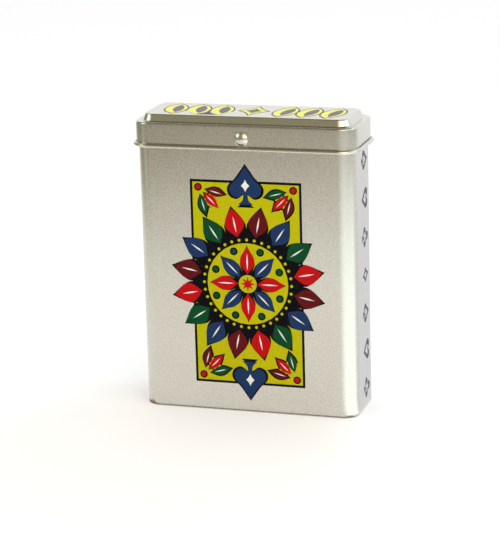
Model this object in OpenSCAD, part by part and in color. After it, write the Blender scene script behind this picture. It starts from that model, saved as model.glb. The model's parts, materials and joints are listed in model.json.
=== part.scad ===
// Hinged tinplate box for a deck of cards, with its lid closed.
// The origin is on the ground under the middle of the body. +X is to the right,
// -Y is the front with the catch dimple, and the hinge runs along the back.

/* [Body] */
// Width of the body, outside
body_w = 67; // [60:0.5:90]
// Depth of the body, outside
body_d = 22.8; // [18:0.1:40]
// Height of the tin with the lid closed
tin_h = 90.8; // [80:0.1:130]
// Radius of the upright corners, outside
corner_r = 4.7; // [4:0.1:6]
// Thickness of the tinplate
sheet = 0.25; // [0.2:0.01:0.3]
// Radius of the turned-in foot edge, outside
foot_r = 0.5; // [0.4:0.05:0.9]
// Width of the foot lip that carries the bottom panel
lip_w = 2.3; // [1.5:0.1:3]
// Radius of the inward curl of the rim, outside
rim_r = 0.5; // [0.4:0.05:0.6]
// Turn of the rim's curl, in degrees
rim_turn = 285; // [270:1:288]

/* [Bottom panel] */
// Height of the flange that stands up inside the wall
flange_h = 2.6; // [2:0.1:5]
// Inside radius of the bend between the floor and its flange
flange_bend_r = 0.4; // [0.2:0.05:0.8]
// How far the middle of the floor is pressed up
floor_rise = 0.5; // [0.3:0.05:1]
// Distance from the wall to the edge of the pressed-up middle
floor_margin = 3.4; // [3:0.1:4]
// Gap between the flange and the wall
flange_gap = 0.05; // [0.02:0.01:0.1]

/* [Side seam] */
// Width of the folded seam inside the back wall
seam_w = 3.5; // [2.5:0.1:5]
// Width and depth of the line that the seam leaves outside
seam_line = 0.12; // [0.08:0.01:0.16]
// Distance that the folded seam stops short of the flange and the rim
seam_end_gap = 0.4; // [0.2:0.1:2]

/* [Lid] */
// Gap between the body and the lid's skirt
skirt_gap = 0.5; // [0.4:0.02:0.7]
// Height from the underside of the curl to the ledge
skirt_h = 7.6; // [6.8:0.1:12]
// Radius of the shoulder above the skirt, outside
shoulder_r = 0.6; // [0.4:0.05:1]
// Distance from the skirt to the foot of the raised panel
step_inset = 2; // [1.8:0.1:3]
// Corner radius at the foot of the raised panel
step_r = 2.2; // [2:0.1:3.2]
// Height of the raised panel above the ledge
panel_rise = 2.1; // [1.2:0.1:3]
// How far the panel's sides lean in
panel_lean = 0.86; // [0.5:0.02:1]
// Radius of the panel's top edge, outside
panel_edge_r = 0.5; // [0.4:0.05:0.6]
// Inside radius of the crease at the foot of the panel
crease_r = 0.3; // [0.15:0.05:0.4]
// Turn of the lid's outward curl, in degrees
curl_turn = 294; // [270:1:298]

/* [Catch] */
// Diameter of the dimple in the front of the skirt
dimple_d = 3.85; // [3:0.05:5]
// Height of the dimple
dimple_h = 0.7; // [0.4:0.05:0.9]
// Height of the dimple's middle above the top of the curl
dimple_lift = 2.3; // [2:0.1:3]
// Diameter of the catch bump on the body
bump_d = 2.2; // [1.6:0.1:2.4]
// Height of the catch bump
bump_h = 0.22; // [0.1:0.01:0.24]

/* [Hinge] */
// Diameter of the hinge wire
wire_d = 0.7; // [0.6:0.05:0.9]
// Radial clearance round the wire
wire_clear = 0.025; // [0.015:0.005:0.05]
// Distance from the end of the wire to the corner bend
wire_end = 1; // [0.5:0.1:4]
// Width of each tongue of the body
tongue_w = 6; // [4:0.5:9]
// Distance from the middle of the tin to the middle of each tongue
tongue_x = 18; // [12:0.5:22]
// Turn of each tongue round the wire, in degrees
tongue_turn = 250; // [220:1:265]
// Radius of the bend where a tongue leaves the wall
tongue_root_r = 0.2; // [0.15:0.05:0.4]
// Slit beside a tongue in the body wall
slit = 0.15; // [0.1:0.05:0.4]
// Gap beside a tongue in the lid
notch_gap = 0.3; // [0.25:0.05:1]
// Height of the notches above the hinge axis
notch_rise = 1.1; // [0.9:0.05:1.3]

/* [Clearances] */
// Gap between the swinging lid and the rim
swing_clear = 0.12; // [0.08:0.01:0.2]
// Least gap between the rim and the underside of the ledge
rim_clear = 0.5; // [0.3:0.1:1]

/* [Hidden] */
$fn = 64;
bend_steps = 8;
// Flat run past each bend, over which a flat plate overlaps the swept sheet
lap = 0.1;
floor_slope = 45;
seam_layers = 2;
tin_colour = "#c6c3b8";
wire_colour = "#a9a9a6";

// Corner centres of the upright walls
corner_x = body_w / 2 - corner_r;
corner_y = body_d / 2 - corner_r;

// Curl of the lid, which is also the barrel of the hinge
bore_r = wire_d / 2 + wire_clear;
curl_r = bore_r + sheet;
ledge_z = tin_h - panel_rise;
axis_y = body_d / 2 + skirt_gap + curl_r;
axis_z = ledge_z - skirt_h + curl_r;

// Skirt of the lid, measured from a corner centre
skirt_in = corner_r + skirt_gap;
skirt_out = skirt_in + sheet;

// Rim height that the lid's front edge just clears as it swings
front_reach = axis_y + body_d / 2 + skirt_gap;
rim_reach = axis_y + body_d / 2 - rim_r;
swing_rise = rim_r + sqrt(pow(front_reach - rim_r - swing_clear, 2) - pow(rim_reach, 2));
rim_z = hundredth(min(axis_z + swing_rise, ledge_z - sheet - rim_clear));

// Raised panel, measured from its own corner centres
step_x = body_w / 2 + skirt_gap + sheet - step_inset - step_r;
step_y = body_d / 2 + skirt_gap + sheet - step_inset - step_r;
lean = atan2(panel_lean, panel_rise);
crease_run = crease_r * tan((90 - lean) / 2);
edge_run = panel_edge_r * tan((90 - lean) / 2);
step_flat = hundredth(step_r + crease_run + lap);
panel_flat = hundredth(step_r - panel_lean - edge_run - lap);

// Bottom panel, measured from the corner centres of the walls
flange_out = corner_r - sheet - flange_gap;
flange_top = sheet + flange_h;
floor_flat = corner_r - floor_margin;
slope_w = floor_rise / tan(floor_slope);
slope_in = sheet * tan(floor_slope / 2);

// Tongues, their windows in the wall and their notches in the lid
window_bottom = axis_z - curl_r - tongue_root_r;
tongue_length = (tongue_root_r + sheet / 2) * PI / 2
    + axis_y - body_d / 2 - tongue_root_r
    + (bore_r + sheet / 2) * PI * tongue_turn / 180;
window_top = hundredth(window_bottom + tongue_length);
dimple_z = axis_z + curl_r + dimple_lift;
wire_l = 2 * (corner_x - wire_end);

function hundredth(v) = round(v * 100) / 100;

// Points of an arc about c from angle a to angle b
function arc(c, r, a, b) = [
    for (i = [0 : bend_steps])
        let (t = a + (b - a) * i / bend_steps)
            c + r * [cos(t), sin(t)]
];

// Strip of sheet bent about a centre, from angle a to angle b
module bend(at, inner_r, a, b) {
    far = 3 * (inner_r + sheet);
    steps = 6;
    rest = b - a - 360;
    translate(at) difference() {
        circle(inner_r + sheet);
        circle(inner_r);
        polygon(concat([[0, 0]], [
            for (i = [0 : steps])
                far * [cos(a + rest * i / steps), sin(a + rest * i / steps)]
        ]));
    }
}

// Carries a profile round a rectangle with round corners, whose corner centres are at x and y
module around(x, y) {
    for (side = [0 : 3]) {
        across = side % 2 == 0 ? x : y;
        along = side % 2 == 0 ? y : x;
        rotate([0, 0, 90 * side]) translate([across, along, 0]) {
            rotate([90, 0, 0]) linear_extrude(2 * along) children();
            rotate_extrude(angle = 90) children();
        }
    }
}

// Flat plate of sheet with round corners, whose corner centres are at x and y
module plate(x, y, r, z) {
    translate([0, 0, z]) linear_extrude(sheet) rounded(x, y, r);
}

module rounded(x, y, r) {
    square([2 * x, 2 * (y + r)], center = true);
    square([2 * (x + r), 2 * y], center = true);
    for (sx = [-1, 1], sy = [-1, 1])
        translate([sx * x, sy * y]) circle(r);
}

// Cap of a sphere on a base of diameter d, standing out from a front face at y
module front_cap(d, h, y, z) {
    r = (d * d / 4 + h * h) / (2 * h);
    translate([0, y, z]) rotate([90, 0, 0]) rotate_extrude() intersection() {
        translate([0, h - r]) circle(r);
        square([d, h]);
    }
}

// Box across the back at each tongue, from y0 to y1 and from bottom to top
module at_tongues(w, y0, y1, bottom, top) {
    for (side = [-1, 1])
        translate([side * tongue_x - w / 2, y0, bottom]) cube([w, y1 - y0, top - bottom]);
}

module body_profile() {
    translate([corner_r - sheet, foot_r]) square([sheet, rim_z - rim_r - foot_r]);
    bend([corner_r - rim_r, rim_z - rim_r], rim_r - sheet, 0, rim_turn);
    bend([corner_r - foot_r, foot_r], foot_r - sheet, 270, 360);
    translate([corner_r - lip_w, 0]) square([lip_w - foot_r, sheet]);
}

// Tongue of the wall, curled round the wire
module tongue_profile() {
    bend([axis_y, axis_z], bore_r, -90, tongue_turn - 90);
    translate([body_d / 2 + tongue_root_r, axis_z - curl_r])
        square([axis_y - body_d / 2 - tongue_root_r, sheet]);
    bend([body_d / 2 + tongue_root_r, window_bottom], tongue_root_r, 90, 180);
}

module tongues() {
    for (side = [-1, 1])
        translate([side * tongue_x - tongue_w / 2, 0, 0])
            rotate([90, 0, 90]) linear_extrude(tongue_w) tongue_profile();
}

// Folded layers of the side seam, on the inside of the back wall
module seam_fold() {
    bottom = flange_top + seam_end_gap;
    top = rim_z - 2 * rim_r - seam_end_gap;
    translate([-seam_w / 2, body_d / 2 - (seam_layers + 1) * sheet, bottom])
        cube([seam_w, seam_layers * sheet, top - bottom]);
}

module seam_groove() {
    translate([seam_w / 2, body_d / 2 - seam_line, foot_r])
        cube([seam_line, 2 * seam_line, rim_z - rim_r - foot_r]);
}

module body_wall() {
    back_in = body_d / 2 - sheet;
    color(tin_colour) difference() {
        union() {
            difference() {
                around(corner_x, corner_y) body_profile();
                at_tongues(tongue_w + 2 * slit, back_in - sheet, body_d / 2 + sheet,
                    window_bottom, window_top);
            }
            tongues();
            seam_fold();
            front_cap(bump_d, bump_h, -body_d / 2, dimple_z);
        }
        front_cap(bump_d, bump_h, -body_d / 2 + sheet, dimple_z);
        seam_groove();
    }
}

module bottom_profile() {
    out = flange_out - sheet - flange_bend_r;
    translate([flange_out - sheet, sheet + sheet + flange_bend_r])
        square([sheet, flange_top - 2 * sheet - flange_bend_r]);
    bend([out, 2 * sheet + flange_bend_r], flange_bend_r, 270, 360);
    polygon([
        [out, sheet],
        [out, 2 * sheet],
        [floor_flat + slope_w, 2 * sheet],
        [floor_flat, 2 * sheet + floor_rise],
        [floor_flat - sheet, 2 * sheet + floor_rise],
        [floor_flat - sheet, sheet + floor_rise],
        [floor_flat - slope_in, sheet + floor_rise],
        [floor_flat + slope_w - slope_in, sheet]
    ]);
}

module bottom_panel() {
    color(tin_colour) {
        around(corner_x, corner_y) bottom_profile();
        plate(corner_x, corner_y, floor_flat - sheet + lap / 2, sheet + floor_rise);
    }
}

// Skirt of the lid with its outward curl below and its shoulder above
module skirt_profile() {
    bend([skirt_in + curl_r, axis_z], bore_r, 180, 180 + curl_turn);
    translate([skirt_in, axis_z]) square([sheet, ledge_z - shoulder_r - axis_z]);
    bend([skirt_out - shoulder_r, ledge_z - shoulder_r], shoulder_r - sheet, 0, 90);
    translate([skirt_out - shoulder_r - lap, ledge_z - sheet]) square([lap, sheet]);
}

// Side of the raised panel, from the ledge up to the flat top
module step_profile() {
    crease = [step_r + crease_run, ledge_z + crease_r];
    edge = [step_r - panel_lean - edge_run, tin_h - panel_edge_r];
    polygon(concat(
        [[step_flat, ledge_z]],
        arc(crease, crease_r, 270, 180 + lean),
        arc(edge, panel_edge_r, lean, 90),
        [[panel_flat, tin_h], [panel_flat, tin_h - sheet]],
        arc(edge, panel_edge_r - sheet, 90, lean),
        arc(crease, crease_r + sheet, 180 + lean, 270),
        [[step_flat, ledge_z - sheet]]
    ));
}

module ledge() {
    translate([0, 0, ledge_z - sheet]) linear_extrude(sheet) difference() {
        rounded(corner_x, corner_y, skirt_out - shoulder_r - lap / 2);
        rounded(step_x, step_y, step_flat - lap / 2);
    }
}

module lid_shell() {
    front_out = body_d / 2 + skirt_gap + sheet;
    color(tin_colour) difference() {
        union() {
            around(corner_x, corner_y) skirt_profile();
            ledge();
            around(step_x, step_y) step_profile();
            plate(step_x, step_y, panel_flat + lap / 2, tin_h - sheet);
            front_cap(dimple_d, dimple_h, -front_out, dimple_z);
        }
        front_cap(dimple_d, dimple_h, -front_out + sheet, dimple_z);
        at_tongues(tongue_w + 2 * notch_gap, axis_y - curl_r - sheet, axis_y + curl_r + sheet,
            axis_z - curl_r - sheet, axis_z + notch_rise);
    }
}

module hinge_wire() {
    color(wire_colour) translate([0, axis_y, axis_z]) rotate([0, 90, 0])
        cylinder(h = wire_l, d = wire_d, center = true);
}

body_wall();
bottom_panel();
lid_shell();
hinge_wire();
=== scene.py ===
import json
import bmesh
import bpy
from math import atan2, cos, degrees, pi, radians, sin, sqrt, tan
from mathutils import Matrix, Vector

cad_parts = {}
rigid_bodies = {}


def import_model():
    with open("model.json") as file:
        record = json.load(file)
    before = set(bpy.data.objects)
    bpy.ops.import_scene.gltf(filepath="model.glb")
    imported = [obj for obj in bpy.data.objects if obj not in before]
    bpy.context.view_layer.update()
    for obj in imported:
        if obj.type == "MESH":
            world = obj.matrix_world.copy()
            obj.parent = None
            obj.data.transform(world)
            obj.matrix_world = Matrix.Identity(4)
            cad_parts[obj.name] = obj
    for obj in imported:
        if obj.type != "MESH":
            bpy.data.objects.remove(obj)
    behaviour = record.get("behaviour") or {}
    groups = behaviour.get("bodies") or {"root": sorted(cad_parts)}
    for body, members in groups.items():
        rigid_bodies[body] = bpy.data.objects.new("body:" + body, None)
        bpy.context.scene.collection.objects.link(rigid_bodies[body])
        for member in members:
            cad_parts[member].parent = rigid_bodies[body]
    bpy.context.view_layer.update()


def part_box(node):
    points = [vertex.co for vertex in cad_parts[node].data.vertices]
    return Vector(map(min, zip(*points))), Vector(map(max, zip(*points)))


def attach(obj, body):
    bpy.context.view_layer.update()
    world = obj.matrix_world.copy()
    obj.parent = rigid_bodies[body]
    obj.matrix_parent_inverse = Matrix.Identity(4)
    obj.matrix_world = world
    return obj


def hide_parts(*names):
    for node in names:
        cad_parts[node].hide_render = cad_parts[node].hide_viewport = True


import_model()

mm = 0.001  # metres

# Driving sizes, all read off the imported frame, in mm
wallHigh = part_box("body_wall")[1] / mm
panLow, panHigh = [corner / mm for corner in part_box("bottom_panel")]
lidLow, lidHigh = [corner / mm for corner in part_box("lid_shell")]
wireLow, wireHigh = [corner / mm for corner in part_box("hinge_wire")]
sheet = panLow.z  # the pan lies on one thickness of tinplate
halfW = wallHigh.x
axisY = (wireLow.y + wireHigh.y) / 2
axisZ = (wireLow.z + wireHigh.z) / 2
wireR = (wireHigh.z - wireLow.z) / 2
curlR = axisZ - lidLow.z
boreR = curlR - sheet
skirtGap = lidHigh.x - halfW - 2 * curlR
halfD = lidHigh.y - skirtGap - 2 * curlR
rimZ = wallHigh.z
tinH = lidHigh.z
print("sizes read from the frame")


# From the sRGB colour that a picker shows to the linear one that a shader needs
def linearColour(hexCode):
    channels = [int(hexCode[place:place + 2], 16) / 255 for place in (1, 3, 5)]
    return [c / 12.92 if c <= 0.04045 else ((c + 0.055) / 1.055) ** 2.4 for c in channels] + [1.0]


def addNode(tree, kind, settings=None, links=None):
    node = tree.nodes.new(kind)
    for name, value in (settings or {}).items():
        if isinstance(name, str) and hasattr(node, name):
            setattr(node, name, value)
        else:
            node.inputs[name].default_value = value
    for name, source in (links or {}).items():
        tree.links.new(source, node.inputs[name])
    return node


def newMaterial(name):
    material = bpy.data.materials.new(name)
    material.use_nodes = True
    material.node_tree.nodes.clear()
    return material, material.node_tree


# Tinplate, rolled with a stone finish and lacquered: satin, warm grey, with a fine grain
tinplateLook = {
    "colour": "#D5D2C7", "darkColour": "#CECABF", "cloud": 14,  # mm, width of the faint changes of tone
    "grain": 0.32,  # mm, coarser than the real 0.05 mm so that it shows
    "streak": 0.9, "streakLength": 30, "streakShare": 0.3,  # mm, lines left by the rolls
    "grainRange": (0.4, 0.9), "roughness": (0.24, 0.29),
    "bump": 0.004, "bumpStrength": 0.11,  # mm
    "lacquer": 0.15, "lacquerRoughness": 0.12,
}

# Drawn steel wire: greyer than the tinplate, with uneven gloss where the die has rubbed it
wireLook = {**tinplateLook, "colour": "#B9B8B4", "darkColour": "#A5A4A0", "roughness": (0.2, 0.3)}


def makeMetal(name, look):
    material, tree = newMaterial(name)
    place = addNode(tree, "ShaderNodeTexCoord").outputs["Object"]
    grain = addNode(tree, "ShaderNodeTexNoise", {"Scale": 1 / (look["grain"] * mm), "Detail": 3.0},
                    {"Vector": place})
    stretch = addNode(tree, "ShaderNodeMapping",
                      {"Scale": [1 / (look["streak"] * mm)] * 2 + [1 / (look["streakLength"] * mm)]},
                      {"Vector": place})
    streak = addNode(tree, "ShaderNodeTexNoise", {"Scale": 1.0, "Detail": 2.0},
                     {"Vector": stretch.outputs["Vector"]})
    cloud = addNode(tree, "ShaderNodeTexNoise", {"Scale": 1 / (look["cloud"] * mm), "Detail": 2.0},
                    {"Vector": place})
    mixed = addNode(tree, "ShaderNodeMath", {"operation": "MULTIPLY_ADD", 1: look["streakShare"]},
                    {0: streak.outputs["Fac"], 2: grain.outputs["Fac"]})
    tint = addNode(tree, "ShaderNodeMix",
                   {"data_type": "RGBA", 6: linearColour(look["colour"]),
                    7: linearColour(look["darkColour"])},
                   {"Factor": cloud.outputs["Fac"]})
    rough = addNode(tree, "ShaderNodeMapRange",
                    {"From Min": look["grainRange"][0], "From Max": look["grainRange"][1],
                     "To Min": look["roughness"][0], "To Max": look["roughness"][1]},
                    {"Value": mixed.outputs["Value"]})
    bump = addNode(tree, "ShaderNodeBump",
                   {"Strength": look["bumpStrength"], "Distance": look["bump"] * mm},
                   {"Height": mixed.outputs["Value"]})
    shader = addNode(tree, "ShaderNodeBsdfPrincipled",
                     {"Metallic": 1.0, "Coat Weight": look["lacquer"],
                      "Coat Roughness": look["lacquerRoughness"]},
                     {"Base Color": tint.outputs[2], "Roughness": rough.outputs["Result"],
                      "Normal": bump.outputs["Normal"]})
    addNode(tree, "ShaderNodeOutputMaterial", links={"Surface": shader.outputs["BSDF"]})
    return material


tinplate = makeMetal("satinTinplate", tinplateLook)
wireSteel = makeMetal("drawnSteelWire", wireLook)
print("metals made")

sharpAngle = 35  # degrees, bends sharper than this stay edges


# Turns a bmesh drawn in mm into a piece, and its sheet into a wall with the drawn face in its middle
def keepPiece(bm, name, material, body, thickness=0):
    bmesh.ops.recalc_face_normals(bm, faces=bm.faces)
    mesh = bpy.data.meshes.new(name)
    bm.transform(Matrix.Scale(mm, 4))
    bm.to_mesh(mesh)
    bm.free()
    mesh.materials.append(material)
    mesh.shade_smooth()
    mesh.set_sharp_from_angle(angle=radians(sharpAngle))
    piece = bpy.data.objects.new(name, mesh)
    bpy.context.collection.objects.link(piece)
    if thickness:
        wall = piece.modifiers.new("sheet", "SOLIDIFY")
        wall.thickness = thickness * mm
        wall.offset = 0
        wall.use_quality_normals = True
    flats = piece.modifiers.new("flats", "WEIGHTED_NORMAL")  # keeps the flat sides flat beside the bends
    flats.keep_sharp = True
    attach(piece, body)
    return piece


cornerSteps = 14  # in each quarter turn of the tin's outline
edgeSteps, bendSteps, curlSteps = 6, 8, 24  # in a small bend, a bend and a curl of the sheet
domeRings, domeSpokes, domeEase = 14, 48, 0.175
slack, nearRim, touch, weld = 0.05, 0.02, 1e-3, 1e-4  # mm, for finding the faces and points of a wall


# One ring of the wall is a rectangle with round corners, set out from its four corner centres
def setRing(verts, layer, corner, out, height):
    signs = ((1, 1), (-1, 1), (-1, -1), (1, -1))
    for vert in verts:
        quarter, step = divmod(vert[layer], cornerSteps + 1)
        turn = (quarter + step / cornerSteps) * pi / 2
        vert.co = Vector((signs[quarter][0] * corner[0] + out * cos(turn),
                          signs[quarter][1] * corner[1] + out * sin(turn), height))


# Edges of an extrusion that lie along its new end
def freeEdges(made, ends):
    return [item for item in made
            if isinstance(item, bmesh.types.BMEdge) and all(v in ends for v in item.verts)]


# Carries a path of (out, height, corner centre) round the tin, one ring for each point
def carryRound(path):
    bm = bmesh.new()
    layer = bm.verts.layers.int.new("spot")
    ring = bmesh.ops.create_circle(bm, cap_ends=False, radius=1, segments=4 * (cornerSteps + 1))["verts"]
    for spot, vert in enumerate(sorted(ring, key=lambda v: atan2(v.co.y, v.co.x) % (2 * pi))):
        vert[layer] = spot
    edges = list(bm.edges)
    for count, (out, height, corner) in enumerate(path):
        if count:
            made = bmesh.ops.extrude_edge_only(bm, edges=edges)["geom"]
            ring = [item for item in made if isinstance(item, bmesh.types.BMVert)]
            edges = freeEdges(made, ring)
        setRing(ring, layer, corner, out, height)
    return bm, edges


# Part of that path along an arc, from one angle to another in degrees
def arcPath(centre, radius, start, end, corner, steps):
    turns = [radians(start + (end - start) * step / steps) for step in range(steps + 1)]
    return [(centre[0] + radius * cos(turn), centre[1] + radius * sin(turn), corner) for turn in turns]


# Faces of the sheet whose middle lies between two corners
def facesBetween(bm, low, high):
    found = []
    for face in bm.faces:
        middle = face.calc_center_median()
        if all(low[k] < middle[k] < high[k] for k in range(3)):
            found.append(face)
    return found


# Cuts the faces between two corners across, at each spot along X
def cutAcross(bm, low, high, spots):
    for spot in spots:
        faces = facesBetween(bm, low, high)
        parts = set(faces) | {e for f in faces for e in f.edges} | {v for f in faces for v in f.verts}
        bmesh.ops.bisect_plane(bm, geom=list(parts), dist=1e-5, plane_co=(spot, 0, 0), plane_no=(1, 0, 0))


# Round swelling pressed out of a front wall at y, in place of a square patch
def pressDome(bm, wallY, z, radius, height, fillet, margin):
    patch = radius + margin
    across = bodyCorner[0]
    cutAcross(bm, (-across, wallY - slack, z - patch), (across, wallY + slack, z + patch), [-patch, patch])
    faces = facesBetween(bm, (-patch, wallY - slack, z - patch), (patch, wallY + slack, z + patch))
    rim = {e for f in faces for e in f.edges if sum(g in faces for g in e.link_faces) == 1}
    bmesh.ops.delete(bm, geom=faces, context="FACES")
    domeR = (radius * radius + height * height) / (2 * height)
    chain = []
    for step in range(domeRings + 1):
        reach = (radius + fillet) * step / domeRings
        rise = max(sqrt(max(domeR * domeR - reach * reach, 0)) - (domeR - height), 0)
        share = (radius + fillet - reach) / (2 * fillet)
        if share <= 1:  # the fillet, where the dome eases out into the wall
            rise = rise / 2 + domeEase * fillet * share
        chain.append(bm.verts.new((reach, wallY - rise, z)))
    edges = [bm.edges.new(pair) for pair in zip(chain, chain[1:])]
    bmesh.ops.spin(bm, geom=chain + edges, cent=(0, wallY, z), axis=(0, 1, 0), angle=2 * pi,
                   steps=domeSpokes, use_merge=True)
    doubles = [v for v in bm.verts
               if abs(v.co.x) < patch and abs(v.co.z - z) < patch and v.co.y < wallY + slack]
    bmesh.ops.remove_doubles(bm, verts=doubles, dist=weld)
    middle = Vector((0, wallY, z))
    outer = {e for e in bm.edges if e.is_boundary and e not in rim
             and all(abs((v.co - middle).length - radius - fillet) < nearRim for v in e.verts)}
    bmesh.ops.triangle_fill(bm, edges=list(outer | {e for e in rim if e.is_valid}), use_beauty=True,
                            normal=(0, -1, 0))


# Body: a wrapped sleeve with a turned-in foot, an inward curl at the rim and two tongues for the hinge
bodyShape = {  # mm, and degrees for each turn
    "cornerR": 4.7, "footR": 0.5, "lipW": 2.3, "rimR": 0.5, "rimTurn": 285,
    "tongueX": 18, "tongueW": 6, "tongueTurn": 250, "rootR": 0.2, "slit": 0.15,
    "bumpR": 1.1, "bumpH": 0.22, "bumpZ": 84.65, "bumpFillet": 0.1, "bumpMargin": 0.15,
    "seamW": 3.5, "seamLine": 0.12, "seamEnd": 0.4, "seamDull": 0.12, "flangeH": 2.6,
}
bodyCorner = (halfW - bodyShape["cornerR"], halfD - bodyShape["cornerR"])


def buildBody(s):
    out = s["cornerR"] - sheet / 2
    windowLow = axisZ - curlR - s["rootR"]
    tongueLength = ((s["rootR"] + sheet / 2) * pi / 2 + axisY - halfD - s["rootR"]
                    + (boreR + sheet / 2) * radians(s["tongueTurn"]))
    windowHigh = windowLow + tongueLength
    patch = s["bumpR"] + s["bumpMargin"]
    foot = (s["cornerR"] - s["footR"], s["footR"])
    rim = (s["cornerR"] - s["rimR"], rimZ - s["rimR"])
    path = [(s["cornerR"] - s["lipW"], sheet / 2, bodyCorner)]
    path += arcPath(foot, s["footR"] - sheet / 2, 270, 360, bodyCorner, bendSteps)
    levels = sorted({windowLow, windowHigh, s["bumpZ"] - patch, s["bumpZ"] + patch})
    path += [(out, z, bodyCorner) for z in levels]
    path += arcPath(rim, s["rimR"] - sheet / 2, 0, s["rimTurn"], bodyCorner, curlSteps)
    bm, _ = carryRound(path)

    backY = halfD - sheet / 2
    low, high = (-bodyCorner[0], backY - slack, windowLow), (bodyCorner[0], backY + slack, windowHigh)
    for side in (-1, 1):
        middle = side * s["tongueX"]
        reach = (s["tongueW"] / 2, s["tongueW"] / 2 + s["slit"])
        cutAcross(bm, low, high, [middle + offset for offset in (-reach[1], -reach[0], reach[0], reach[1])])
        gone = facesBetween(bm, (middle - reach[1], *low[1:]), (middle + reach[1], *high[1:]))
        bmesh.ops.delete(bm, geom=gone, context="FACES")
        root = [e for e in bm.edges
                if all(abs(v.co.z - windowLow) < touch and abs(v.co.y - backY) < touch
                       and abs(v.co.x - middle) < reach[0] + touch for v in e.verts)]
        strip = spinStrip(bm, root, (halfD + s["rootR"], windowLow), -pi / 2, edgeSteps)
        strip = pushStrip(bm, strip, axisY - halfD - s["rootR"])
        spinStrip(bm, strip, (axisY, axisZ), radians(s["tongueTurn"]), curlSteps)

    seamX = [s["seamW"] / 2 + s["seamLine"] * share for share in (0, 0.5, 1)]
    low, high = (0, backY - slack, s["footR"] - 2 * slack), (bodyCorner[0], backY + slack, rim[1] + nearRim)
    cutAcross(bm, low, high, seamX)
    for vert in bm.verts:  # presses the middle cut in, as the line where the seam shows
        if abs(vert.co.x - seamX[1]) < touch and abs(vert.co.y - backY) < touch:
            vert.co.y -= s["seamLine"]
    pressDome(bm, -halfD + sheet / 2, s["bumpZ"], s["bumpR"], s["bumpH"], s["bumpFillet"], s["bumpMargin"])
    return keepPiece(bm, "tinBody", tinplate, "tin_body", sheet)


# Turns a row of edges about a line along X, and gives the row at the far end
def spinStrip(bm, edges, centre, turn, steps):
    verts = list({v for e in edges for v in e.verts})
    made = bmesh.ops.spin(bm, geom=verts + list(edges), cent=(0, *centre), axis=(1, 0, 0), angle=turn,
                          steps=steps)
    return [item for item in made["geom_last"] if isinstance(item, bmesh.types.BMEdge)]


# Carries a row of edges on along Y
def pushStrip(bm, edges, run):
    made = bmesh.ops.extrude_edge_only(bm, edges=edges)["geom"]
    verts = [item for item in made if isinstance(item, bmesh.types.BMVert)]
    bmesh.ops.translate(bm, verts=verts, vec=(0, run, 0))
    return freeEdges(made, verts)


tinBody = buildBody(bodyShape)
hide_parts("body_wall")
print("body built")


# Folded layers of the side seam, inside the back wall
def buildSeam(s):
    bottom = sheet + s["flangeH"] + s["seamEnd"]
    top = rimZ - 2 * s["rimR"] - s["seamEnd"]
    deep = 2 * sheet
    bm = bmesh.new()
    bmesh.ops.create_cube(bm, size=1)
    bmesh.ops.scale(bm, vec=(s["seamW"], deep, top - bottom), verts=bm.verts)
    bmesh.ops.translate(bm, vec=(0, halfD - sheet - deep / 2, (top + bottom) / 2), verts=bm.verts)
    bmesh.ops.bevel(bm, geom=bm.edges[:], offset=s["seamDull"], segments=3, affect="EDGES", profile=0.5,
                    material=-1)
    return keepPiece(bm, "sideSeam", tinplate, "tin_body")


buildSeam(bodyShape)

# Bottom: a pressed pan, flange up, with its middle pressed up a little
bottomShape = {  # mm
    "flangeGap": 0.05, "bendR": 0.4, "rise": 0.5, "margin": 3.4,
    "easeR": 0.5, "easeRun": 0.3, "easeSteps": 4,
}


def buildBottom(s):
    out = bodyShape["cornerR"] - sheet - s["flangeGap"]
    flat = bodyShape["cornerR"] - s["margin"]
    floorZ = 1.5 * sheet
    bend = (out - sheet - s["bendR"], 2 * sheet + s["bendR"])
    foot = (flat + s["rise"] + s["easeRun"], floorZ + s["easeR"])
    head = (flat - s["easeRun"], floorZ + s["rise"] - s["easeR"])
    path = [(out - sheet / 2, panHigh.z, bodyCorner)]
    path += arcPath(bend, s["bendR"] + sheet / 2, 0, -90, bodyCorner, bendSteps)
    path += arcPath(foot, s["easeR"], 270, 225, bodyCorner, s["easeSteps"])
    path += arcPath(head, s["easeR"], 45, 90, bodyCorner, s["easeSteps"])
    bm, last = carryRound(path)
    bmesh.ops.contextual_create(bm, geom=last)
    return keepPiece(bm, "bottomPan", tinplate, "tin_body", sheet)


bottomPan = buildBottom(bottomShape)
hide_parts("bottom_panel")

# Lid: one drawn piece, from the curl up to the raised panel
lidShape = {  # mm, and degrees for curlTurn
    "skirtTop": 2.1, "shoulderR": 0.6, "stepInset": 2.0, "stepR": 3.9, "lean": 0.86,
    "edgeR": 0.5, "creaseR": 0.3, "curlTurn": 294, "curlSteps": 30,
    "notchGap": 0.3, "notchRise": 1.1, "notchReach": 1,
    "dimpleR": 1.925, "dimpleH": 0.7, "dimpleZ": 84.65, "dimpleFillet": 0.2, "dimpleMargin": 0.35,
}


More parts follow.
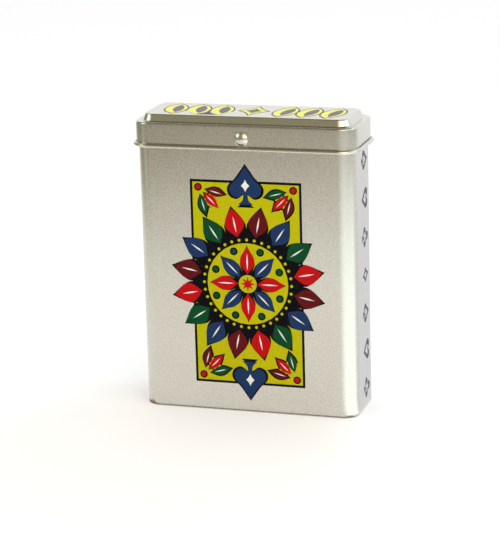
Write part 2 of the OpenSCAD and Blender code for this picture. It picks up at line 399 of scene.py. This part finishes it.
def buildLid(s):
    ledgeZ = tinH - s["skirtTop"]
    skirtIn = bodyShape["cornerR"] + skirtGap
    skirtOut = skirtIn + sheet
    stepCorner = (halfW + skirtGap + sheet - s["stepInset"] - s["stepR"],
                  halfD + skirtGap + sheet - s["stepInset"] - s["stepR"])
    lean = atan2(s["lean"], s["skirtTop"])
    share = tan((pi / 2 - lean) / 2)
    leanDeg = degrees(lean)
    shoulder = (skirtOut - s["shoulderR"], ledgeZ - s["shoulderR"])
    crease = (s["stepR"] + s["creaseR"] * share, ledgeZ + s["creaseR"])
    edge = (s["stepR"] - s["lean"] - s["edgeR"] * share, tinH - s["edgeR"])
    patch = s["dimpleR"] + s["dimpleMargin"]
    notchTop = axisZ + s["notchRise"]
    levels = sorted((notchTop, s["dimpleZ"] - patch, s["dimpleZ"] + patch))
    path = arcPath((skirtIn + curlR, axisZ), boreR + sheet / 2, 180 + s["curlTurn"], 180, bodyCorner,
                   s["curlSteps"])
    path += [(skirtIn + sheet / 2, z, bodyCorner) for z in levels]
    path += arcPath(shoulder, s["shoulderR"] - sheet / 2, 0, 90, bodyCorner, bendSteps)
    path += arcPath(crease, s["creaseR"] + sheet / 2, 270, 180 + leanDeg, stepCorner, edgeSteps)
    path += arcPath(edge, s["edgeR"] - sheet / 2, leanDeg, 90, stepCorner, edgeSteps)
    bm, last = carryRound(path)
    bmesh.ops.contextual_create(bm, geom=last)

    low = (-bodyCorner[0], halfD, lidLow.z - s["notchReach"])
    high = (bodyCorner[0], lidHigh.y + s["notchReach"], notchTop)
    for side in (-1, 1):
        reach = bodyShape["tongueW"] / 2 + s["notchGap"]
        ends = (side * bodyShape["tongueX"] - reach, side * bodyShape["tongueX"] + reach)
        cutAcross(bm, low, high, ends)
        gone = facesBetween(bm, (ends[0], *low[1:]), (ends[1], *high[1:]))
        bmesh.ops.delete(bm, geom=gone, context="FACES")
    front = -(halfD + skirtGap + sheet / 2)
    pressDome(bm, front, s["dimpleZ"], s["dimpleR"], s["dimpleH"], s["dimpleFillet"], s["dimpleMargin"])
    return keepPiece(bm, "tinLid", tinplate, "lid", sheet)


tinLid = buildLid(lidShape)
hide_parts("lid_shell")
print("lid built")


# Hinge wire: straight, with its cut ends just dulled
wireShape = {"dull": 0.06, "sides": 28}  # mm


def buildWire(s):
    bm = bmesh.new()
    bmesh.ops.create_cone(bm, cap_ends=True, segments=s["sides"], radius1=wireR, radius2=wireR,
                          depth=wireHigh.x - wireLow.x)
    ends = [e for e in bm.edges if abs(e.verts[0].co.z - e.verts[1].co.z) < weld]
    bmesh.ops.bevel(bm, geom=ends, offset=s["dull"], segments=2, affect="EDGES", profile=0.5, material=-1)
    bmesh.ops.rotate(bm, cent=(0, 0, 0), matrix=Matrix.Rotation(pi / 2, 3, "Y"), verts=bm.verts)
    bmesh.ops.translate(bm, vec=(0, axisY, axisZ), verts=bm.verts)
    return keepPiece(bm, "hingeWire", wireSteel, "tin_body")


hingeWire = buildWire(wireShape)
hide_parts("hinge_wire")

# Litho ink, rolled on thinly and dull once dry: the metal shines through the paler ones
inkLook = {
    "layer": 0.01, "thick": 0.007, "stroke": 0.42,  # mm; the stroke is the dark line round each shape
    "speck": 0.4, "speckRange": (0.3, 0.7), "speckTone": (0.9, 1.06),  # mm, unevenness left by the roller
    "roughness": (0.38, 0.46), "gloss": 0.08, "curveSteps": 8,
}
inkColours = {  # colour, and how much of the metal shows through
    "black": ("#05030A", 0.0), "yellow": ("#ACA603", 0.2), "red": ("#AA060C", 0.1),
    "green": ("#033F1F", 0.05), "navy": ("#172D52", 0.05), "maroon": ("#560A0F", 0.05),
    "white": ("#D2D0CA", 0.1), "paleYellow": ("#F2EC6E", 0.3), "grey": ("#6F6B78", 0.2),
    "darkGrey": ("#4A4850", 0.1),
}


def makeInk(name, hexCode, metallic, look):
    material, tree = newMaterial(name)
    place = addNode(tree, "ShaderNodeTexCoord").outputs["Object"]
    low, high = look["speckRange"]
    speck = addNode(tree, "ShaderNodeTexNoise", {"Scale": 1 / (look["speck"] * mm), "Detail": 3.0},
                    {"Vector": place})
    shade = addNode(tree, "ShaderNodeMapRange",
                    {"From Min": low, "From Max": high, "To Min": look["speckTone"][0],
                     "To Max": look["speckTone"][1]}, {"Value": speck.outputs["Fac"]})
    tint = addNode(tree, "ShaderNodeVectorMath", {"operation": "SCALE", 0: linearColour(hexCode)[:3]},
                   {"Scale": shade.outputs["Result"]})
    rough = addNode(tree, "ShaderNodeMapRange",
                    {"From Min": low, "From Max": high, "To Min": look["roughness"][0],
                     "To Max": look["roughness"][1]}, {"Value": speck.outputs["Fac"]})
    shader = addNode(tree, "ShaderNodeBsdfPrincipled",
                     {"Metallic": metallic, "Specular IOR Level": look["gloss"]},
                     {"Base Color": tint.outputs["Vector"], "Roughness": rough.outputs["Result"]})
    addNode(tree, "ShaderNodeOutputMaterial", links={"Surface": shader.outputs["BSDF"]})
    return material


inks = {name: makeInk("ink_" + name, *ink, inkLook) for name, ink in inkColours.items()}

# Each printed shape is a filled curve through a few knots: a round knot carries the curve smoothly on,
# and a sharp one is a corner
roundKnot, sharpKnot = "AUTO", "VECTOR"
leafBelly = 0.46  # where along a leaf it is widest


def circleKnots(radius):
    return [(radius, 0, roundKnot), (0, radius, roundKnot), (-radius, 0, roundKnot), (0, -radius, roundKnot)]


def boxKnots(width, height):
    return [(sx * width / 2, sy * height / 2, sharpKnot) for sx, sy in ((-1, -1), (1, -1), (1, 1), (-1, 1))]


# Pointed leaf along +X, from start to end
def leafKnots(start, end, halfWidth):
    belly = start + leafBelly * (end - start)
    return [(start, 0, sharpKnot), (belly, -halfWidth, roundKnot), (end, 0, sharpKnot),
            (belly, halfWidth, roundKnot)]


# Star whose points are leaves, half of each point's width given as an angle's share of the pitch
def starKnots(points, valley, belly, tip, share):
    knots = []
    for count in range(points):
        for reach, place, kind in ((valley, -0.5, sharpKnot), (belly, -share, roundKnot),
                                   (tip, 0, sharpKnot), (belly, share, roundKnot)):
            turn = (count + place) * 2 * pi / points
            knots.append((reach * cos(turn), reach * sin(turn), kind))
    return knots


# Right half of each card suit, from top to bottom in a square from -1 to 1
suitHalf = {
    "spade": [(0, 1, sharpKnot), (0.42, 0.4, roundKnot), (0.86, -0.22, roundKnot), (0.5, -0.62, roundKnot),
              (0.1, -0.42, sharpKnot), (0.16, -0.76, roundKnot), (0.4, -1, sharpKnot)],
    "heart": [(0, 0.52, sharpKnot), (0.26, 0.86, roundKnot), (0.66, 0.86, roundKnot), (0.92, 0.4, roundKnot),
              (0.52, -0.34, roundKnot), (0, -1, sharpKnot)],
    "club": [(0, 1, roundKnot), (0.4, 0.62, roundKnot), (0.2, 0.2, sharpKnot), (0.62, 0.18, roundKnot),
             (0.92, -0.2, roundKnot), (0.52, -0.56, roundKnot), (0.1, -0.32, sharpKnot),
             (0.16, -0.74, roundKnot), (0.4, -1, sharpKnot)],
    "diamond": [(0, 1, sharpKnot), (0.28, 0.44, roundKnot), (0.7, 0, sharpKnot), (0.28, -0.44, roundKnot),
                (0, -1, sharpKnot)],
}


# Whole card suit, to its height from the middle
def suitKnots(name, size):
    half = suitHalf[name]
    whole = half + [(-x, y, kind) for x, y, kind in reversed(half) if x > 0]
    return [(size * x, size * y, kind) for x, y, kind in whole]


def placed(knots, middle, turn=0):
    along, across = cos(turn), sin(turn)
    return [(middle[0] + along * x - across * y, middle[1] + across * x + along * y, kind)
            for x, y, kind in knots]


# Flat wall that a print lies on, from its middle and its directions of across and up
def wallPlane(middle, across, up):
    across, up = Vector(across), Vector(up)
    return Matrix.Translation(middle) @ Matrix((across, up, across.cross(up))).transposed().to_4x4()


# One piece of ink on a wall, as many layers up as the inks under it
def printShapes(name, ink, layer, shapes, wall, body):
    curve = bpy.data.curves.new(name, "CURVE")
    curve.dimensions = "2D"
    curve.fill_mode = "BOTH"
    curve.extrude = inkLook["thick"] / 2
    curve.resolution_u = inkLook["curveSteps"]
    for knots in shapes:
        spline = curve.splines.new("BEZIER")
        spline.bezier_points.add(len(knots) - 1)
        spline.use_cyclic_u = True
        for point, (x, y, kind) in zip(spline.bezier_points, knots):
            point.co = (x, y, 0)
            point.handle_left_type = point.handle_right_type = kind
    drawn = bpy.data.objects.new(name + "Curve", curve)
    flat = bpy.data.meshes.new_from_object(drawn)
    bm = bmesh.new()
    bm.from_mesh(flat)
    for item, kept in ((drawn, bpy.data.objects), (curve, bpy.data.curves), (flat, bpy.data.meshes)):
        kept.remove(item)
    bmesh.ops.remove_doubles(bm, verts=bm.verts, dist=weld)
    bmesh.ops.translate(bm, vec=(0, 0, layer * inkLook["layer"]), verts=bm.verts)
    bmesh.ops.transform(bm, matrix=wall, verts=bm.verts)
    return keepPiece(bm, name, inks[ink], body)


# Front: a bordered panel with a rosette of leaves, a spade at either end and a fan in each corner
frontPrint = {  # mm, and degrees for the fan's spread
    "middle": (0.6, 40.4), "panel": (34.4, 63.1), "border": 0.75,
    "leaves": 16, "leafReach": (14.6, 23.5), "leafHalf": 3.0, "leafValley": 2.4, "leafShare": 0.455,
    "discR": 12.6, "beads": 36, "beadR": 0.45, "berryR": 0.8, "berryAt": 10.7,
    "petals": 8, "petalReach": (3.0, 11.5), "petalHalf": 2.25, "petalValley": 1.2, "petalShare": 0.43,
    "spadeR": 6.2, "spadeAt": 30.1, "spadeGlint": 0.3,
    "fanAt": (14.7, 29.2), "fanReach": (2.0, 9.4), "fanHalf": 1.35, "fanRootR": 1.2, "fanSpread": 30,
    "leafGlint": (1.4, 2.4, 0.24), "petalGlint": (1.2, 2, 0.22), "fanGlint": (1.6, 1.8, 0.16),
    "hubR": 2.8, "eye": (8, 1.0, 1.3, 2.3, 0.3),
}


# Thin pale line along a leaf. Its numbers: how far in from the root and from the tip, and its half width
def glintKnots(start, end, glint):
    return leafKnots(start + glint[0], end - glint[1], glint[2])


def frontShapes(s):
    line = inkLook["stroke"]
    dark, core, light, disc = [], [], [], [circleKnots(s["discR"])]
    hues = {hue: [] for hue in ("red", "green", "navy", "maroon")}
    hueOrder = list(hues)

    near, far = s["leafReach"]
    pitch = 2 * pi / s["leaves"]
    ground = starKnots(s["leaves"], near + s["leafValley"], near + leafBelly * (far - near), far + 2 * line,
                       s["leafShare"])
    dark.append(placed(ground, (0, 0), pitch / 2))
    for count in range(s["leaves"]):
        turn = (count + 0.5) * pitch
        hue = hueOrder[count % len(hueOrder)]
        hues[hue].append(placed(leafKnots(near, far, s["leafHalf"]), (0, 0), turn))
        light.append(placed(glintKnots(near, far, s["leafGlint"]), (0, 0), turn))
    ringR = (near + s["discR"]) / 2
    for count in range(s["beads"]):
        turn = count * 2 * pi / s["beads"]
        disc.append(placed(circleKnots(s["beadR"]), (ringR * cos(turn), ringR * sin(turn))))

    near, far = s["petalReach"]
    pitch = 2 * pi / s["petals"]
    core.append(starKnots(s["petals"], near + s["petalValley"], near + leafBelly * (far - near), far + line,
                          s["petalShare"]))
    for count in range(s["petals"]):
        turn = count * pitch
        hue = ("red", "navy")[count % 2]
        hues[hue].append(placed(leafKnots(near, far, s["petalHalf"]), (0, 0), turn))
        light.append(placed(glintKnots(near, far, s["petalGlint"]), (0, 0), turn))
        between = turn + pitch / 2
        berry = (s["berryAt"] * cos(between), s["berryAt"] * sin(between))
        core.append(placed(circleKnots(s["berryR"] + line), berry))
        hues["green"].append(placed(circleKnots(s["berryR"]), berry))

    near, far = s["fanReach"]
    for end in (1, -1):
        turn = 0 if end > 0 else pi
        at = (0, end * s["spadeAt"])
        dark.append(placed(suitKnots("spade", s["spadeR"] + line), at, turn))
        hues["navy"].append(placed(suitKnots("spade", s["spadeR"] - line), at, turn))
        light.append(placed(suitKnots("diamond", s["spadeGlint"] * s["spadeR"]), at, turn))
        for side in (-1, 1):
            root = (side * s["fanAt"][0], end * s["fanAt"][1])
            inward = atan2(-end, -side)
            dark.append(placed(circleKnots(s["fanRootR"]), root))
            hues["red"].append(placed(circleKnots(s["fanRootR"] - line), root))
            for spread, hue in ((-1, "green"), (0, "red"), (1, "maroon")):
                turn = inward + radians(spread * s["fanSpread"])
                dark.append(placed(leafKnots(near, far + line, s["fanHalf"] + line), root, turn))
                hues[hue].append(placed(leafKnots(near + line, far - line, s["fanHalf"]), root, turn))
                light.append(placed(glintKnots(near, far, s["fanGlint"]), root, turn))

    inside = [size - 2 * s["border"] for size in s["panel"]]
    layers = [("frontBorder", "black", [boxKnots(*s["panel"])]),
              ("frontPanel", "yellow", [boxKnots(*inside)]), ("frontOutlines", "black", dark),
              ("frontDisc", "yellow", disc), ("frontCore", "black", core)]
    layers = [(name, ink, layer, shapes) for layer, (name, ink, shapes) in enumerate(layers, 1)]
    layers += [("front" + hue.capitalize(), hue, 6, shapes) for hue, shapes in hues.items()]
    layers += [("frontLights", "white", 7, light), ("frontHub", "yellow", 7, [circleKnots(s["hubR"])]),
               ("frontEye", "red", 8, [starKnots(*s["eye"])])]
    return layers


frontWall = wallPlane((frontPrint["middle"][0], -halfD, frontPrint["middle"][1]), (1, 0, 0), (0, 0, 1))
for name, ink, layer, shapes in frontShapes(frontPrint):
    printShapes(name, ink, layer, shapes, frontWall, "tin_body")
print("front printed")

# Lid: a garland of full pale leaves with heavy grey ribs, three on either side of a diamond
lidPrint = {  # mm, and degrees for the lean
    "middle": (0.6, -0.2), "diamond": 7.2, "diamondShares": (1.0, 0.86, 0.5), "line": 0.36,
    "leaves": 3, "first": 9.8, "pitch": 7.3, "lean": 82, "leafEnd": 7.8, "leafHalf": 3.0,
    "ribEnd": 5.6, "ribHalf": 1.25, "ribShift": 0.65,
}


# Full leaf about its middle, pointed at both ends
def padKnots(end, half):
    low = [(share * end, -half, roundKnot) for share in (-0.5, 0.5)]
    high = [(share * end, half, roundKnot) for share in (0.5, -0.5)]
    return [(-end, 0, sharpKnot), *low, (end, 0, sharpKnot), *high]


def lidShapes(s):
    line = s["line"]
    dark, fill, mark = ([suitKnots("diamond", s["diamond"] * share)] for share in s["diamondShares"])
    for side in (-1, 1):
        turn = pi / 2 - side * radians(90 - s["lean"])
        for count in range(s["leaves"]):
            at = side * (s["first"] + count * s["pitch"])
            dark.append(placed(padKnots(s["leafEnd"], s["leafHalf"]), (at, 0), turn))
            fill.append(placed(padKnots(s["leafEnd"] - 2 * line, s["leafHalf"] - line), (at, 0), turn))
            mark.append(placed(padKnots(s["ribEnd"], s["ribHalf"]), (at + s["ribShift"], 0), turn))
    return (("lidOutlines", "darkGrey", 1, dark), ("lidFills", "paleYellow", 2, fill),
            ("lidRibs", "grey", 3, mark))


lidWall = wallPlane((*lidPrint["middle"], tinH), (1, 0, 0), (0, 1, 0))
for name, ink, layer, shapes in lidShapes(lidPrint):
    printShapes(name, ink, layer, shapes, lidWall, "lid")

# Sides: a column of card suits in outline, lying on their sides
sidePrint = {  # mm; the hole is a share of the size
    "suits": ("spade", "heart", "club", "diamond", "spade", "heart", "club"), "size": 3.4, "hole": 0.5,
    "top": 80.2, "low": 2.8, "back": 1.9,
}


def sideShapes(s):
    shapes = []
    pitch = (s["top"] - s["low"] - 2 * s["size"]) / (len(s["suits"]) - 1)
    for count, suit in enumerate(s["suits"]):
        up = s["top"] - s["size"] - count * pitch
        shapes += [placed(suitKnots(suit, s["size"] * share), (0, up), -pi / 2) for share in (1, s["hole"])]
    return shapes


for name, side in (("rightMarks", 1), ("leftMarks", -1)):
    sideWall = wallPlane((side * halfW, sidePrint["back"], 0), (0, side, 0), (0, 0, 1))
    printShapes(name, "darkGrey", 1, sideShapes(sidePrint), sideWall, "tin_body")
print("lid and sides printed")

# Studio: a sheet of white paper in a dim room, lit from the right and above, with a pale wall behind
studio = {  # metres, and degrees for each turn
    "floor": "#FFFFFF", "floorHalf": 1.6, "floorRoughness": 0.9, "floorGloss": 0.1,
    # painted shade: the paper is tinted warmer and darker round the tin
    "paintedShadeTint": "#F8F0ED", "paintedShadeMiddle": (-0.017, -0.06), "paintedShadeReach": (0.045, 0.092),
    "cameraShare": 0.2, "glossShare": 0.5, "sky": "#FFFFFF", "worldLight": 0.92,
    "table": "#988E80", "tableHalf": (1.5, 1.0), "tablePlace": (0, -0.6, 0.0005),
    # painted shade: the paper darkens towards its edge
    "paperEdgeShade": "#DAD4C4", "paperMiddle": (0.03, 0.30), "paperReach": (0.43, 0.72),
    "fading": (0.70, 0.92), "edge": (0.85, 0.99),  # shares of the reach
    "wedgeIn": 0.003,  # how far inside the tin's front right corner the wedges start
    "shadeColour": "#857B74", "shadeOver": (0.0004, 0.0007), "shadePlace": (-0.0007, -0.0003, 0.0003),
}
roomGlows = {"dimRoom": ("#908F76", 1.0), "dimCeiling": ("#76685C", 1.0), "paleBack": ("#FBFDFF", 1.12)}
roomCards = (  # name, glow, half size, place, and how it is turned from lying flat
    ("roomFront", "dimRoom", (1.5, 1.2), (0, -1.5, 1.2), (90, "X")),
    ("roomRight", "dimRoom", (1.2, 0.85), (1.5, -0.65, 1.2), (90, "Y")),
    ("roomLeft", "dimRoom", (1.2, 1.15), (-1.5, -0.35, 1.2), (90, "Y")),
    ("roomCeiling", "dimCeiling", (1.5, 1.5), (0, 0, 2.4), (0, "X")),
    ("roomBack", "paleBack", (1.5, 1.2), (0, 1.5, 1.2), (90, "X")),
)
wedges = (  # name, colour, strength, height, turns where it fades in and out, reach; none to full each
    # the bright wedge paints the window's light on the paper, the cool one a dimmer painted shade
    ("brightWedge", "#F4FDFF", 1.75, 0.001, (-106, -62), (24, 10), (0.35, 0.27)),
    ("coolShadeWedge", "#F4F4FC", 1.0, 0.0012, (28, 42), (120, 100), (0.42, 0.34)),
)
greenPatch = {"colour": "#B4D2A4", "strength": 1.6, "place": (-0.33, -0.19, 0.0014), "half": (0.09, 0.09),
              "inner": 0.3}
lampAim = (0, 0, 0.05)
lamps = (  # name, watts, size, place, colour
    ("windowRight", 2.5, (0.62, 0.65), (0.45, -0.64, 0.4), "#FFFCF6"),
    ("windowWarm", 0.36, (0.16, 0.65), (0.08, -0.78, 0.4), "#FFB47C"),
    ("windowCool", 2.0, (0.7, 0.5), (0.84, -0.10, 0.4), "#D4FFF8"),
    ("windowLeft", 1.3, (0.4, 0.4), (-0.70, -0.42, 0.4), "#E2FFE6"),
)


# Share of plain white that a ray is given: some for the camera, some for reflections, none for lighting
def lightPath(tree, cameraShare, glossShare):
    ray = addNode(tree, "ShaderNodeLightPath")
    mirrored = addNode(tree, "ShaderNodeMath", {"operation": "MAXIMUM"},
                       {0: ray.outputs["Is Glossy Ray"], 1: ray.outputs["Is Transmission Ray"]})
    share = addNode(tree, "ShaderNodeMath", {"operation": "MULTIPLY", 1: glossShare},
                    {0: mirrored.outputs["Value"]})
    return addNode(tree, "ShaderNodeMath", {"operation": "MULTIPLY_ADD", 1: cameraShare},
                   {0: ray.outputs["Is Camera Ray"], 2: share.outputs["Value"]}).outputs["Value"]


# The camera and the metal see the paper as nearly white, with a warm shade painted on it round the tin, and
# it keeps the tin's shadow
def makeFloor(s):
    material, tree = newMaterial("paperFloor")
    place = addNode(tree, "ShaderNodeTexCoord").outputs["Object"]
    reach = addNode(tree, "ShaderNodeVectorMath", {"operation": "DISTANCE", 1: (*s["paintedShadeMiddle"], 0)},
                    {0: place})
    away = addNode(tree, "ShaderNodeMapRange",
                   {"interpolation_type": "SMOOTHSTEP", "From Min": s["paintedShadeReach"][0],
                    "From Max": s["paintedShadeReach"][1]}, {"Value": reach.outputs["Value"]})
    # painted shade: the paper's colour turns warmer and darker near the tin
    tint = addNode(tree, "ShaderNodeMix",
                   {"data_type": "RGBA", 6: linearColour(s["paintedShadeTint"]), 7: linearColour(s["floor"])},
                   {"Factor": away.outputs["Result"]})
    paper = addNode(tree, "ShaderNodeBsdfPrincipled",
                    {"Roughness": s["floorRoughness"], "Specular IOR Level": s["floorGloss"]},
                    {"Base Color": tint.outputs[2]})
    white = addNode(tree, "ShaderNodeEmission", {"Color": linearColour(s["floor"]), "Strength": 1.0})
    both = addNode(tree, "ShaderNodeMixShader", None,
                   {0: lightPath(tree, s["cameraShare"], s["glossShare"]), 1: paper.outputs["BSDF"],
                    2: white.outputs["Emission"]})
    addNode(tree, "ShaderNodeOutputMaterial", links={"Surface": both.outputs["Shader"]})
    makeCard("paperFloor", material, (s["floorHalf"], s["floorHalf"]), (0, 0, 0))


# Flat card of the studio; a hidden one shows only in the metal
def makeCard(name, material, halfSize, place, tilt=(0, "X"), hidden=False):
    bm = bmesh.new()
    bmesh.ops.create_grid(bm, x_segments=1, y_segments=1, size=1)
    bmesh.ops.scale(bm, vec=(halfSize[0], halfSize[1], 1), verts=bm.verts)
    turn = Matrix.Rotation(radians(tilt[0]), 3, tilt[1])
    bmesh.ops.rotate(bm, cent=(0, 0, 0), matrix=turn, verts=bm.verts)
    bmesh.ops.translate(bm, vec=place, verts=bm.verts)
    mesh = bpy.data.meshes.new(name)
    bm.to_mesh(mesh)
    bm.free()
    mesh.materials.append(material)
    card = bpy.data.objects.new(name, mesh)
    bpy.context.collection.objects.link(card)
    if hidden:
        card.visible_camera = False
        card.visible_diffuse = False
        card.visible_shadow = False


def makeGlow(name, hexCode, strength):
    material, tree = newMaterial(name)
    glow = addNode(tree, "ShaderNodeEmission", {"Color": linearColour(hexCode), "Strength": strength})
    addNode(tree, "ShaderNodeOutputMaterial", links={"Surface": glow.outputs["Emission"]})
    return material


# A glow seen through where its share is 0, on a card that shows only in the metal
def makeVeil(name, material, glow, share, halfSize, place):
    tree = material.node_tree
    clear = addNode(tree, "ShaderNodeBsdfTransparent")
    both = addNode(tree, "ShaderNodeMixShader", None,
                   {0: share, 1: clear.outputs["BSDF"], 2: glow.outputs["Emission"]})
    addNode(tree, "ShaderNodeOutputMaterial", links={"Surface": both.outputs["Shader"]})
    makeCard(name, material, halfSize, place, hidden=True)


# Table round the paper, as the metal mirrors it: the paper darkens towards its edge with painted shade, then
# gives way to a darker table
def makeTable(s):
    material, tree = newMaterial("tableRoundPaper")
    place = addNode(tree, "ShaderNodeTexCoord").outputs["Object"]
    spot = addNode(tree, "ShaderNodeMapping",
                   {"vector_type": "TEXTURE", "Location": (*s["paperMiddle"], 0),
                    "Scale": (*s["paperReach"], 1)}, {"Vector": place})
    reach = addNode(tree, "ShaderNodeVectorMath", {"operation": "LENGTH"}, {0: spot.outputs["Vector"]})
    onTable = addNode(tree, "ShaderNodeMapRange",
                      {"interpolation_type": "SMOOTHSTEP", "From Min": s["edge"][0],
                       "From Max": s["edge"][1]}, {"Value": reach.outputs["Value"]})
    fading = addNode(tree, "ShaderNodeMapRange", {"From Min": s["fading"][0], "From Max": s["fading"][1]},
                     {"Value": reach.outputs["Value"]})
    tint = addNode(tree, "ShaderNodeMix",
                   {"data_type": "RGBA", 6: linearColour(s["paperEdgeShade"]), 7: linearColour(s["table"])},
                   {"Factor": onTable.outputs["Result"]})
    glow = addNode(tree, "ShaderNodeEmission", {"Strength": 1.0}, {"Color": tint.outputs[2]})
    makeVeil("table", material, glow, fading.outputs["Result"], s["tableHalf"], s["tablePlace"])


# Soft-edged patch of light on the paper, as the metal mirrors it
def makePatch(name, s):
    material, tree = newMaterial(name)
    place = addNode(tree, "ShaderNodeTexCoord").outputs["Object"]
    spot = addNode(tree, "ShaderNodeMapping",
                   {"vector_type": "TEXTURE", "Location": s["place"], "Scale": (*s["half"], 1)},
                   {"Vector": place})
    reach = addNode(tree, "ShaderNodeVectorMath", {"operation": "LENGTH"}, {0: spot.outputs["Vector"]})
    share = addNode(tree, "ShaderNodeMapRange",
                    {"interpolation_type": "SMOOTHSTEP", "From Min": s["inner"], "From Max": 1.0,
                     "To Min": 1.0, "To Max": 0.0}, {"Value": reach.outputs["Value"]})
    glow = addNode(tree, "ShaderNodeEmission",
                   {"Color": linearColour(s["colour"]), "Strength": s["strength"]})
    makeVeil(name, material, glow, share.outputs["Result"], s["half"], s["place"])


# Wedge of glow, seen only in the metal, that spreads over the paper from a spot, between two directions with
# soft edges: painted window light where brighter than the paper, painted shade where dimmer
def makeWedge(name, hexCode, strength, spot, fadeIn, fadeOut, reach):
    material, tree = newMaterial(name)
    place = addNode(tree, "ShaderNodeTexCoord").outputs["Object"]
    arm = addNode(tree, "ShaderNodeVectorMath", {"operation": "SUBTRACT", 1: spot},
                  {0: place}).outputs["Vector"]
    sides = addNode(tree, "ShaderNodeSeparateXYZ", None, {"Vector": arm})
    turn = addNode(tree, "ShaderNodeMath", {"operation": "ARCTAN2"},
                   {0: sides.outputs["Y"], 1: sides.outputs["X"]})
    run = addNode(tree, "ShaderNodeVectorMath", {"operation": "LENGTH"}, {0: arm})
    share = None
    for source, (start, end) in ((turn, [radians(angle) for angle in fadeIn]),
                                 (turn, [radians(angle) for angle in fadeOut]), (run, reach)):
        rising = start < end
        edge = addNode(tree, "ShaderNodeMapRange",
                       {"interpolation_type": "SMOOTHSTEP", "From Min": min(start, end),
                        "From Max": max(start, end), "To Min": 0.0 if rising else 1.0,
                        "To Max": 1.0 if rising else 0.0}, {"Value": source.outputs["Value"]})
        if share is None:
            share = edge.outputs["Result"]
        else:
            both = addNode(tree, "ShaderNodeMath", {"operation": "MULTIPLY"},
                           {0: share, 1: edge.outputs["Result"]})
            share = both.outputs["Value"]
    glow = addNode(tree, "ShaderNodeEmission", {"Color": linearColour(hexCode), "Strength": strength})
    makeVeil(name, material, glow, share, (reach[0], reach[0]), spot)


# Dim room that the metal mirrors, with painted window light and painted shade round the tin
def makeRoom(s):
    glows = {name: makeGlow(name, *glow) for name, glow in roomGlows.items()}
    for name, glow, halfSize, place, tilt in roomCards:
        makeCard(name, glows[glow], halfSize, place, tilt, hidden=True)
    start = (halfW * mm - s["wedgeIn"], -halfD * mm + s["wedgeIn"])
    for name, hexCode, strength, height, fadeIn, fadeOut, reach in wedges:
        makeWedge(name, hexCode, strength, (*start, height), fadeIn, fadeOut, reach)
    makePatch("greenPatch", greenPatch)
    under = (halfW * mm + s["shadeOver"][0], halfD * mm + s["shadeOver"][1])
    makeCard("contactShade", makeGlow("contactShade", s["shadeColour"], 1.0), under, s["shadePlace"],
             hidden=True)


def makeLamp(name, power, size, place, hexCode):
    light = bpy.data.lights.new(name, "AREA")
    light.shape = "RECTANGLE"
    light.size, light.size_y = size
    light.energy = power
    light.color = linearColour(hexCode)[:3]
    lamp = bpy.data.objects.new(name, light)
    bpy.context.collection.objects.link(lamp)
    lamp.location = place
    lamp.rotation_euler = (Vector(lampAim) - Vector(place)).to_track_quat("-Z", "Y").to_euler()


def makeWorld(s):
    world = bpy.data.worlds.new("studio")
    bpy.context.scene.world = world
    world.use_nodes = True
    tree = world.node_tree
    tree.nodes.clear()
    strength = addNode(tree, "ShaderNodeMapRange", {"To Min": s["worldLight"], "To Max": 1.0},
                       {"Value": lightPath(tree, 1.0, 1.0)})
    sky = addNode(tree, "ShaderNodeBackground", {"Color": linearColour(s["sky"])},
                  {"Strength": strength.outputs["Result"]})
    addNode(tree, "ShaderNodeOutputWorld", links={"Surface": sky.outputs["Background"]})


makeFloor(studio)
makeTable(studio)
makeRoom(studio)
makeWorld(studio)
for lamp in lamps:
    makeLamp(*lamp)
print("studio lit")

# Camera: fitted to the edges of the tin in the photograph
cameraFit = {  # metres, and degrees for each turn
    "azimuth": 17.02, "elevation": 14.59, "roll": -1.51, "distance": 0.6375, "aim": (0, 0, 0.04948),
    "focalPixels": 2106, "framePixels": 534, "sensor": 36, "shift": (-0.01131, -0.04116),
}


def makeCamera(s):
    azimuth, elevation, roll = (radians(s[key]) for key in ("azimuth", "elevation", "roll"))
    back = Vector((sin(azimuth) * cos(elevation), -cos(azimuth) * cos(elevation), sin(elevation)))
    right = (-back).cross(Vector((0, 0, 1))).normalized()
    up = right.cross(-back)
    across = right * cos(roll) + up * sin(roll)
    upright = up * cos(roll) - right * sin(roll)
    data = bpy.data.cameras.new("photoCamera")
    data.lens = s["focalPixels"] / s["framePixels"] * s["sensor"]
    data.sensor_width = s["sensor"]
    data.shift_x, data.shift_y = s["shift"]
    camera = bpy.data.objects.new("photoCamera", data)
    bpy.context.collection.objects.link(camera)
    turn = Matrix((across, upright, back)).transposed().to_4x4()
    camera.matrix_world = Matrix.Translation(Vector(s["aim"]) + back * s["distance"]) @ turn
    bpy.context.scene.camera = camera


makeCamera(cameraFit)
bpy.context.scene.view_settings.view_transform = "Standard"
